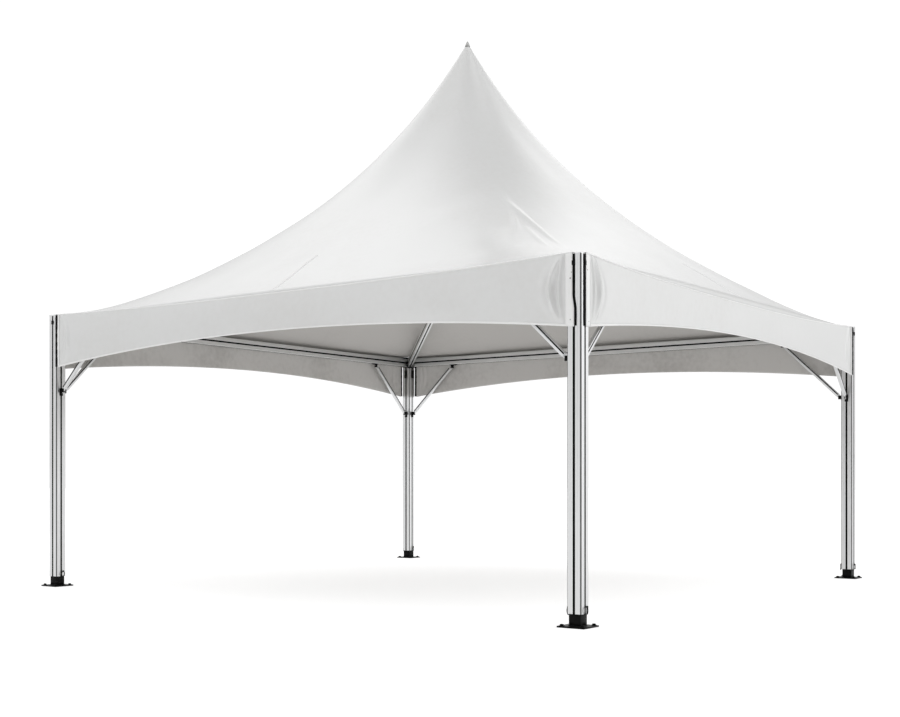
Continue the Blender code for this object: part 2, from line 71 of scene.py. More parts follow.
HALF = (leg_low.x + leg_high.x) / 2
LEG_HALF = (leg_high.x - leg_low.x) / 2
OUT = -band_low.y
SKIN = band_high.y - band_low.y
HEAD_Z = band_high.z
EAVE_Z = HEAD_Z + SKIN + 0.0003
PEAK_Z = 4.750
RAIL_EDGE = -beam_low.y + 0.001
FLAP_END = band_high.x
SHORT_END = -band_low.x
LEG_INNER, LEG_OUTER = HALF - LEG_HALF, HALF + LEG_HALF
BEAM_HEIGHT = 0.085
BEAM_TOP = beam_low.z + BEAM_HEIGHT


def quarter(turns):
    return Matrix.Rotation(turns * math.pi / 2, 4, "Z")


print(f"leg axis at {HALF:.3f} m, skin out to {OUT:.4f} m, eave at {EAVE_Z:.3f} m")

# %% [markdown]
# The camera stands low in front of the front right corner and looks level. A level camera
# keeps the legs upright in the picture; its lens is shifted to the side and up instead of
# being tilted, as an architect's camera is.

# %% Camera
FRAME_WIDTH, FRAME_HEIGHT = 900, 717
FOCAL_PIXELS = 1310.2
AXIS_X, AXIS_Y = 374.8, 477.9

camera = bpy.data.objects.new("camera", bpy.data.cameras.new("camera"))
bpy.context.scene.collection.objects.link(camera)
camera.location = (6.470, -9.595, 0.915)
camera.rotation_euler = (math.radians(90), 0, math.radians(38.04))
camera.data.sensor_width = 36
camera.data.lens = FOCAL_PIXELS / FRAME_WIDTH * camera.data.sensor_width
camera.data.shift_x = (FRAME_WIDTH / 2 - AXIS_X) / FRAME_WIDTH
camera.data.shift_y = (AXIS_Y - FRAME_HEIGHT / 2) / FRAME_WIDTH
camera.data.dof.use_dof = False
bpy.context.scene.camera = camera
print(f"lens {camera.data.lens:.2f} mm, shift {camera.data.shift_x:.3f}, {camera.data.shift_y:.3f}")

# %% [markdown]
# Shader maths reads badly as a list of nodes and links. A small class wraps one socket and
# overloads the arithmetic operators, so that `1 - mask * 0.3` adds its own Math nodes. Every
# other node comes from one method, which sets the node's own settings first and then fills
# its sockets.

# %% Materials as expressions
class Signal:
    """A value that varies over a surface: the output of a node."""

    def __init__(self, recipe, socket):
        self.recipe = recipe
        self.socket = socket

    def math(self, operation, other, flipped=False):
        pair = (other, self) if flipped else (self, other)
        settings = {"operation": operation}
        return self.recipe.node("ShaderNodeMath", settings, {0: pair[0], 1: pair[1]})

    def __add__(self, other):
        return self.math("ADD", other)

    def __radd__(self, other):
        return self.math("ADD", other, flipped=True)

    def __sub__(self, other):
        return self.math("SUBTRACT", other)

    def __rsub__(self, other):
        return self.math("SUBTRACT", other, flipped=True)

    def __mul__(self, other):
        return self.math("MULTIPLY", other)

    def __rmul__(self, other):
        return self.math("MULTIPLY", other, flipped=True)


class Recipe:
    """One material, made node by node round its Principled shader."""

    def __init__(self, name):
        self.material = bpy.data.materials.new(name)
        self.material.use_nodes = True
        self.tree = self.material.node_tree
        self.shader = self.tree.nodes["Principled BSDF"]

    def fill(self, socket, value):
        if isinstance(value, Signal):
            self.tree.links.new(value.socket, socket)
        else:
            socket.default_value = value

    def node(self, kind, settings=None, inputs=None, output=0):
        item = self.tree.nodes.new(kind)
        for key, value in (settings or {}).items():
            setattr(item, key, value)
        for key, value in (inputs or {}).items():
            self.fill(item.inputs[key], value)
        return Signal(self, item.outputs[output])

    def place(self):
        return self.node("ShaderNodeTexCoord", output="Object")

    def scaled(self, where, scale):
        return self.node("ShaderNodeMapping", {}, {"Vector": where, "Scale": scale})

    def mottle(self, where, scale, detail=3.0):
        inputs = {"Vector": where, "Scale": scale, "Detail": detail, "Roughness": 0.55}
        return self.node("ShaderNodeTexNoise", {}, inputs)

    def ramp(self, factor, low, high):
        """0 below low and 1 above high, with a smooth rise between them."""
        inputs = {"Value": factor, "From Min": low, "From Max": high}
        return self.node("ShaderNodeMapRange", {"interpolation_type": "SMOOTHSTEP"}, inputs)

    def blend(self, factor, first, second):
        inputs = {0: factor, 6: (*first, 1), 7: (*second, 1)}
        return self.node("ShaderNodeMix", {"data_type": "RGBA"}, inputs, output=2)

    def bump(self, height, strength, distance):
        inputs = {"Strength": strength, "Distance": distance, "Height": height}
        return self.node("ShaderNodeBump", {}, inputs)

    def finish(self, **sockets):
        for name, value in sockets.items():
            self.fill(self.shader.inputs[name.replace("_", " ")], value)
        return self.material


print("materials can be written as expressions")

# %% [markdown]
# The skin is polyester cloth with a white plastic coat on both sides. Its outside is smooth
# and shines like wet paint, so the sky lies on it in long soft bands; what breaks them is a
# little dust and the faint grid of the yarns under the coat. An image of cloth could be
# tiled over it, but the sheet is five metres wide and would show the repeats, so noise and
# two crossed waves make the pattern at its true scale.

# %% Coated cloth
YARN_PITCH = 0.0022
WAVE_UNIT = 2 * math.pi / 20


def coated_cloth(name, colour, dusty, roughness, threads, coat=0.0, gloss=0.24, bend=1.5):
    recipe = Recipe(name)
    place = recipe.place()
    broad = recipe.mottle(place, 0.8, 4.0)
    fine = recipe.mottle(place, 22.0, 5.0)
    dust = recipe.ramp(broad * 0.7 + fine * 0.3, 0.42, 0.72)
    yarns = [
        recipe.node(
            "ShaderNodeTexWave",
            {"wave_type": "BANDS", "bands_direction": axis},
            {"Vector": place, "Scale": WAVE_UNIT / YARN_PITCH},
            output=1,
        )
        for axis in threads
    ]
    grain = yarns[0] * yarns[1] * 0.5 + fine * 0.5
    return recipe.finish(
        Base_Color=recipe.blend(dust, colour, dusty),
        Roughness=dust * 0.10 + roughness,
        Normal=recipe.bump(grain, 0.05, 0.0004),
        Coat_Weight=coat,
        Coat_Roughness=gloss,
        Coat_IOR=bend,
    )


WHITE, DUSTY_WHITE = (0.80, 0.805, 0.80), (0.77, 0.77, 0.76)
roof_outside = coated_cloth("roof_outside", (0.76, 0.765, 0.76), (0.73, 0.73, 0.72), 0.36, "XY",
                            coat=1.0, gloss=0.22, bend=1.9)
# Painted shade: the insides are the same white cloth, coloured darker for the shade under the roof
SHADED, DUSTY_SHADED = (0.50, 0.485, 0.465), (0.46, 0.445, 0.425)
PALE_SHADED = (0.62, 0.605, 0.585)
roof_inside_painted_shade = coated_cloth("roof_inside_painted_shade", SHADED, DUSTY_SHADED, 0.62, "XY")
# The bands on the front and back hang along X, the others along Y
band_outside = [
    coated_cloth("band_outside_" + threads.lower(), (0.78, 0.785, 0.78), (0.74, 0.74, 0.73), 0.36,
                 threads, coat=1.0, gloss=0.18, bend=1.7)
    for threads in ("XZ", "YZ")
]
# Painted shade: the bands' insides are coloured darker than their outsides
band_inside_painted_shade = [
    coated_cloth("band_inside_painted_shade_" + threads.lower(), PALE_SHADED, DUSTY_SHADED, 0.60, threads)
    for threads in ("XZ", "YZ")
]
# Painted highlight: a brighter white than the bands, for the hems, the piping and the weld tapes
white_painted_highlight = coated_cloth(
    "white_painted_highlight", (0.93, 0.93, 0.925), (0.90, 0.90, 0.89), 0.34, "XZ", coat=1.0
)
print("seven finishes of cloth")

# %% [markdown]
# The profiles are pressed through a die, which leaves fine lines along their length. Noise
# that is stretched along the bar gives those lines, in the roughness and a little in the
# colour. The bars point every way, so the noise reads a small map that each bar carries:
# its first number runs along the bar and its second across.

# %% Metals, paint and plastic
GRAIN = "grain"
LINES_ALONG, LINES_ACROSS = 0.6, 260.0


def pressed_metal(name, colour, roughness):
    recipe = Recipe(name)
    grain = recipe.node("ShaderNodeUVMap", {"uv_map": GRAIN})
    lines = recipe.mottle(recipe.scaled(grain, (LINES_ALONG, LINES_ACROSS, 1.0)), 1.0, 2.0)
    cloud = recipe.mottle(recipe.place(), 3.0, 2.0)
    darker = [channel * 0.86 for channel in colour]
    return recipe.finish(
        Base_Color=recipe.blend(lines * 0.5 + cloud * 0.4, colour, darker),
        Metallic=1.0,
        Roughness=lines * 0.06 + cloud * 0.08 + (roughness - 0.06),
        Normal=recipe.bump(lines, 0.03, 0.0002),
    )


def satin_paint(name, colour, roughness, worn_by=0.02, shine=0.5):
    recipe = Recipe(name)
    place = recipe.place()
    peel = recipe.mottle(place, 420.0, 2.0)
    wear = recipe.ramp(recipe.mottle(place, 34.0, 6.0), 0.56, 0.76)
    worn = [channel + worn_by for channel in colour]
    return recipe.finish(
        Base_Color=recipe.blend(wear, colour, worn),
        Roughness=wear * 0.16 + roughness,
        Normal=recipe.bump(peel, 0.10, 0.0004),
        Specular_IOR_Level=shine,
    )


def zinc(name, colour, roughness):
    recipe = Recipe(name)
    spangle = recipe.mottle(recipe.place(), 160.0, 4.0)
    darker = [channel * 0.7 for channel in colour]
    return recipe.finish(
        Base_Color=recipe.blend(spangle, colour, darker),
        Metallic=1.0,
        Roughness=spangle * 0.2 + roughness,
    )


leg_metal = pressed_metal("leg_metal", (0.90, 0.905, 0.91), 0.30)
# Painted shade: the dark grey that the legs' bevelled corners take
leg_corner_painted_shade = pressed_metal("leg_corner_painted_shade", (0.16, 0.16, 0.16), 0.42)
bar_metal = pressed_metal("bar_metal", (0.84, 0.845, 0.84), 0.36)
stay_metal = pressed_metal("stay_metal", (0.84, 0.845, 0.85), 0.32)
post_metal = zinc("post_metal", (0.62, 0.62, 0.61), 0.32)
bolt_metal = zinc("bolt_metal", (0.45, 0.45, 0.44), 0.34)
black_paint = satin_paint("black_paint", (0.003, 0.003, 0.003), 0.28, worn_by=0.004, shine=0.10)
# Black webbing on the flap's edge, and painted shadow in the gaps beside the legs
black_strap_and_gap_shade = satin_paint("black_strap_and_gap_shade", (0.003, 0.003, 0.003), 0.60, worn_by=0.003, shine=0.08)
# Painted shade: black for the hollows of the slots and of the stays' grooves
black_slot_painted_shade = satin_paint("black_slot_painted_shade", (0.002, 0.002, 0.002), 0.70, worn_by=0.002, shine=0.05)
cap_plastic = satin_paint("cap_plastic", (0.55, 0.55, 0.54), 0.46)
print("finishes of metal, paint, rubber and plastic")

# %% [markdown]
# A wide floor that glows a little stands for the pale ground. The light is a studio's: soft
# boxes overhead and to both sides, little behind the camera, and two narrower ones behind
# the tent that lie on the glossy roof as long bright bands. Lamps could do this, but patches
# painted on the sky give no noise and cost no time. Seen straight, the sky is white, and the
# floor glows more than the tent feels, so that only a faint shadow lies on it.

# %% Floor and light
FLOOR_GLOW, FLOOR_SEEN = 0.27, 0.52
# Each patch of light: degrees clockwise from the camera's view, height in degrees,
# sharpness and strength
SOFT_LIGHTS = (
    (0, 90, 4, 0.81),
    (0, 25, 6, 0.97),
    (67, 8, 12, 1.08),
    (100, 30, 6, 1.82),
    (140, 50, 8, 0.82),
    (220, 40, 6, 0.75),
    (247, 8, 12, 0.56),
    (285, 30, 6, 1.38),
    (325, 30, 6, 0.06),
    (-21, 45, 30, 0.86),
    (20, 30, 30, 0.78),
)


def white_floor():
    bm = bmesh.new()
    bmesh.ops.create_grid(bm, x_segments=1, y_segments=1, size=90)
    bmesh.ops.translate(bm, vec=(0, 0, -0.0005), verts=bm.verts)
    mesh = bpy.data.meshes.new("floor")
    bm.to_mesh(mesh)
    bm.free()
    floor = bpy.data.objects.new("floor", mesh)
    bpy.context.scene.collection.objects.link(floor)
    recipe = Recipe("floor_white")
    seen = recipe.node("ShaderNodeLightPath", output="Is Camera Ray")
    mesh.materials.append(
        recipe.finish(
            Base_Color=(0.78, 0.78, 0.78, 1),
            Roughness=0.9,
            Specular_IOR_Level=0.1,
            Emission_Color=seen * (FLOOR_SEEN - FLOOR_GLOW) + FLOOR_GLOW,
            Emission_Strength=1.0,
        )
    )


def sky():
    world = bpy.data.worlds.new("sky")
    bpy.context.scene.world = world
    world.use_nodes = True
    tree = world.node_tree
    tree.nodes.clear()

    def node(kind, settings=None, inputs=None):
        item = tree.nodes.new(kind)
        for key, value in (settings or {}).items():
            setattr(item, key, value)
        for key, value in (inputs or {}).items():
            if isinstance(value, bpy.types.NodeSocket):
                tree.links.new(value, item.inputs[key])
            else:
                item.inputs[key].default_value = value
        return item.outputs

    def number(operation, first, second):
        return node("ShaderNodeMath", {"operation": operation}, {0: first, 1: second})[0]

    look = node("ShaderNodeTexCoord")["Generated"]
    total = 0.0
    for clockwise, height, sharpness, strength in SOFT_LIGHTS:
        heading = camera.rotation_euler.z - math.radians(clockwise)
        tilt = Matrix.Rotation(math.radians(height), 3, "X")
        way = Matrix.Rotation(heading, 3, "Z") @ tilt @ Vector((0, 1, 0))
        facing = node("ShaderNodeVectorMath", {"operation": "DOT_PRODUCT"}, {0: look, 1: way})
        patch = number("POWER", number("MAXIMUM", facing["Value"], 0.0), sharpness)
        total = number("ADD", total, number("MULTIPLY", patch, strength))
    lit = node("ShaderNodeBackground", {}, {"Strength": total})[0]
    seen = node("ShaderNodeBackground", {}, {"Color": (1, 1, 1, 1), "Strength": 1.05})[0]
    straight = node("ShaderNodeLightPath")["Is Camera Ray"]
    mixed = node("ShaderNodeMixShader", {}, {0: straight, 1: lit, 2: seen})[0]
    node("ShaderNodeOutputWorld", {}, {"Surface": mixed})


white_floor()
sky()
bpy.context.scene.view_settings.view_transform = "Standard"
print(len(SOFT_LIGHTS), "patches of light over a pale floor")

# %% [markdown]
# A few helpers turn Blender's mesh operators into a maker's words: a block, a round bar, a
# bolt. Each gives back a bmesh, and `joined` puts several in one. A modifier stack could do
# the rounding, but a bevel in the mesh is there for good and is seen by every program.

# %% Shapes from operators
def rounded(bm, width, segments=2, angle=30, only=None):
    """Bevels the edges that turn by more than an angle, all or those that a test picks."""
    edges = [
        edge
        for edge in bm.edges
        if len(edge.link_faces) == 2
        and edge.calc_face_angle() > math.radians(angle)
        and (only is None or only(edge))
    ]
    bmesh.ops.bevel(bm, geom=edges, offset=width, offset_type="OFFSET", segments=segments,
                    profile=0.5, affect="EDGES", material=-1)
    return bm


def block(low, high, edge=0.0, segments=2):
    bm = bmesh.new()
    bmesh.ops.create_cube(bm, size=1.0)
    low, high = Vector(low), Vector(high)
    bmesh.ops.scale(bm, vec=high - low, verts=bm.verts)
    bmesh.ops.translate(bm, vec=(high + low) / 2, verts=bm.verts)
    return rounded(bm, edge, segments) if edge else bm


def bar(start, end, radius, segments=24, edge=0.0):
    """A round bar between two points, with its rims rounded where an edge is given."""
    start, end = Vector(start), Vector(end)
    bm = bmesh.new()
    bmesh.ops.create_cone(bm, cap_ends=True, segments=segments, radius1=radius, radius2=radius,
                          depth=(end - start).length)
    if edge:
        rounded(bm, edge, 2, 60)
    turn = (end - start).to_track_quat("Z", "Y").to_matrix().to_4x4()
    bmesh.ops.transform(bm, matrix=Matrix.Translation((start + end) / 2) @ turn, verts=bm.verts)
    return bm


def joined(*parts):
    bm = bmesh.new()
    for part in parts:
        mesh = bpy.data.meshes.new("part")
        part.to_mesh(mesh)
        part.free()
        bm.from_mesh(mesh)
        bpy.data.meshes.remove(mesh)
    return bm


def painted(bm, finish):
    """Gives every face the finish with this number in its piece's list."""
    for face in bm.faces:
        face.material_index = finish
    return bm


def moved(bm, matrix):
    bmesh.ops.transform(bm, matrix=matrix, verts=bm.verts)
    return bm


def bolt(point, direction, size=0.010, washer=1.9):
    """A hexagon head on its washer, standing on a surface at a point."""
    point, direction = Vector(point), Vector(direction).normalized()
    disc = bar(point - direction * 0.001, point + direction * size * 0.22, size * washer / 2 * 1.1,
               edge=0.0005)
    head = bar(point, point + direction * size * 0.95, size * 0.92, segments=6, edge=size * 0.10)
    return joined(disc, head)


def write_piece(name, bm, material, turns=0, sharp=35):
    """Makes an object of a bmesh that was built for the front, turned to its own side."""
    moved(bm, quarter(turns))
    mesh = bpy.data.meshes.new(name)
    bm.to_mesh(mesh)
    bm.free()
    for finish in material if isinstance(material, list) else [material]:
        mesh.materials.append(finish)
    mesh.shade_smooth()
    mesh.set_sharp_from_angle(angle=math.radians(sharp))
    piece = bpy.data.objects.new(name, mesh)
    bpy.context.scene.collection.objects.link(piece)
    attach(piece, "root")
    return piece


print("helpers ready")

# %% [markdown]
# ## The roof
#
# The real skin is welded flat from a few widths of cloth and pulled down over the king post,
# so it takes a hollow curve, steep at the top and gentler at the eave, and its hips are
# soft. Cloth simulation could find that curve, but a formula gives the same one each time:
# its level lines are rounded squares, a little sharper at the corners near the peak.

# %% The roof's curve
SPIRE_SHARE, SPIRE_REACH = 0.532, 0.341
PEAK_SQUARENESS, EAVE_SQUARENESS = 3.88, 2.81
# How far the seam hangs in the middle of each side
EAVE_SAGS = (0.034, 0.062, 0.040, 0.034)


def level(x, y):
    """0 at the peak and 1 all along the eave."""
    u, v = abs(x) / OUT, abs(y) / OUT
    power = PEAK_SQUARENESS + (EAVE_SQUARENESS - PEAK_SQUARENESS) * max(u, v)
    return (u**power + v**power - (u * v) ** power) ** (1 / power)


def roof_height(x, y):
    s = min(level(x, y), 1.0)
    spire = math.exp(-s / SPIRE_REACH) - s * math.exp(-1 / SPIRE_REACH)
    rise = (1 - SPIRE_SHARE) * (1 - s) + SPIRE_SHARE * spire
    return EAVE_Z + (PEAK_Z - EAVE_Z) * rise


def eave_sag(along, turns):
    """How far the seam hangs below the leg tops, part way along a side."""
    return EAVE_SAGS[turns] * (1 - min(1.0, abs(along) / FLAP_END) ** 2.5)


def side_of(x, y):
    """The side whose face holds a point of the plan, as a number of quarter turns."""
    if abs(y) >= abs(x):
        return 0 if y < 0 else 2
    return 1 if x > 0 else 3


print(f"roof height half way out: {roof_height(0, OUT / 2):.3f} m")

# %% [markdown]
# The pull along a hip gathers a little spare cloth into creases beside it, most of all at
# the front right corner. Each crease is a long low ridge, set out by its distance down the
# hip and its distance off the hip, and added to the height. The rest of the skin has only a
# slow unevenness of a few millimetres.

# %% Creases and unevenness
# Distance down the hip, distance off it, drift, half length, half width and height
HIP_CREASES = (
    (1.98, 0.035, 0.16, 0.30, 0.022, 0.0100),
    (2.22, 0.085, 0.14, 0.30, 0.019, 0.0085),
    (1.82, -0.010, 0.20, 0.18, 0.018, 0.0080),
    (2.10, -0.055, -0.10, 0.20, 0.022, 0.0085),
    (2.30, -0.105, -0.24, 0.22, 0.026, 0.0075),
    (2.48, 0.012, 0.05, 0.26, 0.018, 0.0065),
)
CREASE_AREA = ((1.45, 2.95), 0.26)
DIP_START = 2.05
CLOTH_THICK = 0.0012


def hip_place(x, y):
    """How far a point lies down the front right hip, and how far off it."""
    return (x - y) / math.sqrt(2), (x + y) / math.sqrt(2)


def creases(x, y):
    down, off = hip_place(x, y)
    total = 0.0
    for centre, aside, drift, length, width, height in HIP_CREASES:
        a = (down - centre) / length
        b = (off - aside - drift * (down - centre)) / width
        if a * a + b * b < 9:
            total += height * math.exp(-a * a - b * b)
    return total


def unevenness(x, y):
    edge = min(1.0, (OUT - max(abs(x), abs(y))) / 0.3)
    top = min(1.0, math.hypot(x, y) / 0.8)
    slow = noise.noise((x * 1.3, y * 1.3, 4.7))
    quick = noise.noise((x * 3.1, y * 3.1, 1.9))
    return 0.006 * edge * top * (slow + 0.5 * quick)


def eave_dip(x, y):
    """The skin sinks with its seam as far as the top of the beam lets it."""
    out = max(abs(x), abs(y))
    share = min(1.0, max(0.0, (out - DIP_START) / (RAIL_EDGE - DIP_START)))
    along = min(abs(x), abs(y))
    deep = min(eave_sag(along, side_of(x, y)), EAVE_Z - BEAM_TOP - 2 * CLOTH_THICK)
    return deep * share * share * (3 - 2 * share)


def skin_height(x, y):
    """The outside of the finished skin, anywhere inside the eave's seam."""
    return roof_height(x, y) + unevenness(x, y) + creases(x, y) - eave_dip(x, y)


print(len(HIP_CREASES), "creases beside the front right hip")

# %% [markdown]
# The sheet starts as a flat grid whose cells crowd towards the middle, where the slope is
# steepest. It is cut along the rails and round the legs' heads, and has finer cells where
# the creases are. Then every point is lifted to its height, and Solidify gives the cloth a
# wall with a darker finish inside, whose darkness is painted shade.

# %% The roof's sheet
ROOF_CELLS = 150
CROWDING = 1.4
RING_HOLE = 0.012


def cut_square(bm, reach):
    """Cuts the grid along a square, so that its edges follow it."""
    for axis in ((1, 0, 0), (0, 1, 0)):
        for sign in (-1, 1):
            whole = bm.verts[:] + bm.edges[:] + bm.faces[:]
            point = Vector(axis) * sign * reach
            bmesh.ops.bisect_plane(bm, geom=whole, dist=1e-5, plane_co=point, plane_no=axis)


def over_a_leg(x, y):
    """Whether the skin is cut away here to make room for a leg's head."""
    end = FLAP_END if x > 0 > y else LEG_INNER - 0.001
    return min(abs(x), abs(y)) > end


def by_the_creases(face):
    down, off = hip_place(*face.calc_center_median()[:2])
    (start, end), reach = CREASE_AREA
    return start < down < end and abs(off) < reach


def roof_sheet():
    bm = bmesh.new()
    bmesh.ops.create_grid(bm, x_segments=ROOF_CELLS, y_segments=ROOF_CELLS, size=1.0)
    for vert in bm.verts:
        for axis in range(2):
            share = vert.co[axis]
            vert.co[axis] = math.copysign(abs(share) ** CROWDING, share) * OUT
    for reach in (FLAP_END, LEG_INNER - 0.001, RAIL_EDGE):
        cut_square(bm, reach)
    spare = []
    for face in bm.faces:
        x, y = face.calc_center_median()[:2]
        if over_a_leg(x, y) or max(abs(x), abs(y)) < RING_HOLE:
            spare.append(face)
    bmesh.ops.delete(bm, geom=spare, context="FACES")
    creased = {edge for face in bm.faces if by_the_creases(face) for edge in face.edges}
    bmesh.ops.subdivide_edges(bm, edges=list(creased), cuts=3, use_grid_fill=True)
    for vert in bm.verts:
        x, y = vert.co.x, vert.co.y
        vert.co.z = skin_height(x, y)
        if max(abs(x), abs(y)) > RAIL_EDGE + 1e-3:
            vert.co.z = EAVE_Z - eave_sag(min(abs(x), abs(y)), side_of(x, y))
    return bm


def as_cloth(piece):
    """Gives a sheet its wall, which lies inside the surface that was drawn."""
    wall = piece.modifiers.new("wall", "SOLIDIFY")
    wall.thickness = CLOTH_THICK
    wall.offset = -1
    wall.material_offset = 1
    return piece


def cloth_area(bm):
    return sum(face.calc_area() for face in bm.faces)


bm = roof_sheet()
roof_area = cloth_area(bm)
roof = as_cloth(write_piece("roof_cover", bm, [roof_outside, roof_inside_painted_shade], sharp=180))
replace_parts(roof, *[f"canopy_panel_{side}" for side in SIDES])
print(f"roof cover: {roof_area:.1f} square metres of cloth, {len(roof.data.polygons)} faces")

# %% [markdown]
# ## The hanging bands
#
# A band of the same cloth hangs from the eave on each side, with its lower edge cut to an
# arch. At the front right corner its end lies on the leg as a flap; elsewhere it stops
# beside the leg. The rope that is laced through its end pulls the cloth into bowed folds.
# A band is a strip of a grid, bent to the arch and pushed outwards along those folds.

# %% Bands
BAND_DEEP, BAND_SHALLOW = 0.455, 0.310
BAND_CELLS = (300, 24)
# Each fold: distance from the band's end, how far it bows, half width and height
LAP_FOLDS = (
    (0.054, 0.095, 0.016, 0.026),
    (0.052, 0.035, 0.010, 0.016),
    (0.070, 0.135, 0.034, 0.008),
)
SHORT_FOLDS = ((0.060, 0.080, 0.022, 0.010), (0.050, 0.030, 0.014, 0.006))


def band_depth(x):
    return BAND_SHALLOW + (BAND_DEEP - BAND_SHALLOW) * (x / FLAP_END) ** 2


def band_reach(lap):
    """How far a band reaches to the left and to the right of its middle."""
    return [FLAP_END if lap == side else SHORT_END for side in ("left", "right")]


def across_band(along, lap):
    """Where a column of the grid lies. The columns crowd at the ends, where the folds are."""
    left, right = band_reach(lap)
    share = 2 * along - 1
    crowded = 1.5 * share - 0.5 * share**3
    return (right - left) / 2 + (left + right) / 2 * crowded


def folds(x, down, lap):
    total = 0.0
    for side, reach in zip((-1, 1), band_reach(lap)):
        from_end = reach - side * x
        if from_end < 0.6:
            for start, bow, width, height in LAP_FOLDS if reach == FLAP_END else SHORT_FOLDS:
                centre = start + bow * math.sin(math.pi * down) ** 0.8
                rise = height * math.sin(math.pi * min(1.0, down * 1.05)) ** 0.6
                total += rise * math.exp(-(((from_end - centre) / width) ** 2))
    return total


def band_point(x, down, lap, turns=0, proud=0.0):
    """A point of a band: down runs from 0 at the seam to 1 at the lower edge."""
    top = EAVE_Z - eave_sag(x, turns)
    z = top + (EAVE_Z - band_depth(x) - top) * down
    swell = 0.010 * (0.5 + 0.7 * noise.noise((x * 1.5, down * 0.8, 2.5 + turns)))
    ends = min(1.0, (min(band_reach(lap)) - abs(x) + 0.06) / 0.25) if abs(x) > 2 else 1.0
    swell *= math.sin(math.pi * min(1.0, down)) * max(0.0, ends)
    return Vector((x, -OUT - swell - folds(x, min(1.0, down), lap) - proud, z))


def strip(columns, rows, shape):
    """A sheet of cells, each corner put where shape says for two numbers from 0 to 1."""
    bm = bmesh.new()
    bmesh.ops.create_grid(bm, x_segments=columns, y_segments=rows, size=0.5)
    for vert in bm.verts:
        vert.co = shape(vert.co.x + 0.5, 0.5 - vert.co.y)
    return bm


def facing(bm, direction):
    """Turns an open sheet's faces so that they look the way that is given."""
    bm.normal_update()
    total = sum((face.normal * face.calc_area() for face in bm.faces), Vector())
    if total.dot(Vector(direction)) < 0:
        bmesh.ops.reverse_faces(bm, faces=bm.faces)
    return bm


for turns, (side, lap) in enumerate(zip(SIDES, LAPS)):
    left, right = band_reach(lap)

    def shape(along, down, lap=lap, turns=turns):
        return band_point(across_band(along, lap), down, lap, turns)

    bm = facing(strip(*BAND_CELLS, shape), (0, -1, 0))
    area = cloth_area(bm)
    finish = [band_outside[turns % 2], band_inside_painted_shade[turns % 2]]
    band = as_cloth(write_piece(f"band_{side}", bm, finish, turns, sharp=180))
    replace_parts(band, f"valance_{side}")
    left + right
    print(f"band on the {side}: {area:.2f} square metres")

# %% [markdown]
# Every edge of a band is turned over and welded, which shows as a narrow brighter border.
# The borders are strips of their own, drawn on the same curve and lifted by one thickness
# of cloth, and their brighter white than the cloth is a painted highlight. A painted line in
# the material would be simpler, but it has no edge to catch the light. A thin round piping
# runs along the seam between the roof and the bands, in the same painted highlight white.

# %% Hems and piping
HEM_SHARE = 0.038
HEM_BESIDE_LEG, HEM_ON_LEG = 0.027, 0.048
HEM_LIFT = 0.0013
PIPING_R = 0.0045
# How far the hem on the leg reaches past the flap's end, to the webbing: at the front it
# drifts outwards on the way down
HEM_PAST_END = {"right": 0.0034, "left": 0.0106}
WEB_DRIFT = 0.0118


def slide(z, drift):
    return drift * min(1.0, max(0.0, (2.03 - z) / 0.08))


def hem_strips(lap, turns):
    left, right = band_reach(lap)

    def lower(along, t):
        down = 1 + 0.004 - HEM_SHARE * (1 - t)
        return band_point(across_band(along, lap), down, lap, turns, HEM_LIFT)

    strips = [facing(strip(BAND_CELLS[0], 2, lower), (0, -1, 0))]
    for side, reach in zip((-1, 1), (left, right)):
        width = HEM_ON_LEG if reach == FLAP_END else HEM_BESIDE_LEG

        def upright(along, t, side=side, reach=reach, width=width):
            past = 0.0
            if reach == FLAP_END:
                z = band_point(side * reach, t, lap, turns).z
                past = HEM_PAST_END[lap] + slide(z, WEB_DRIFT if lap == "right" else 0.0)
            x = side * (reach - width * along + past * (1 - along))
            return band_point(x, t, lap, turns, 1.6 * HEM_LIFT)

        strips.append(facing(strip(4, BAND_CELLS[1], upright), (0, -1, 0)))
    return joined(*strips)


def piping(lap, turns):
    left, right = band_reach(lap)

    def around(along, t):
        x = (left + right) * along - left
        turn = 2 * math.pi * t
        y = -OUT + 0.001 + PIPING_R * math.cos(turn)
        return Vector((x, y, EAVE_Z - eave_sag(x, turns) - 0.003 + PIPING_R * math.sin(turn)))

    bm = strip(120, 10, around)
    bmesh.ops.remove_doubles(bm, verts=bm.verts, dist=1e-5)
    bmesh.ops.recalc_face_normals(bm, faces=bm.faces)
    return bm


trims = {}
for turns, (side, lap) in enumerate(zip(SIDES, LAPS)):
    hem = as_cloth(write_piece(f"hem_{side}", hem_strips(lap, turns), [white_painted_highlight, white_painted_highlight],
                               turns, sharp=180))
    cord = write_piece(f"piping_{side}", piping(lap, turns), white_painted_highlight, turns,
                       sharp=180)
    trims[side] = [hem, cord]
print("hems and piping on", len(trims), "sides")

# %% [markdown]
# Where the widths of the roof are welded together, a tape lies over the joint. It shows on
# the lower part of each face, in the middle, and is a narrow strip laid on the finished skin.
# Its brighter white is a painted highlight.

# %% Weld tapes
TAPE_HALF_WIDTH = 0.011
TAPE_TOP = 2.03

tapes = []
for turns, side in enumerate(SIDES):

    def on_skin(along, t, turns=turns):
        x = TAPE_HALF_WIDTH * (2 * along - 1)
        y = -(TAPE_TOP + (RAIL_EDGE - TAPE_TOP) * t)
        turned = quarter(turns) @ Vector((x, y, 0))
        return Vector((x, y, skin_height(turned.x, turned.y) + 0.0006))

    bm = facing(strip(2, 40, on_skin), (0, 0, 1))
    tapes.append(write_piece(f"weld_tape_{side}", bm, [white_painted_highlight], turns, sharp=180))
    wall = tapes[-1].modifiers.new("wall", "SOLIDIFY")
    wall.thickness, wall.offset = 0.0005, -1
print(len(tapes), "weld tapes")

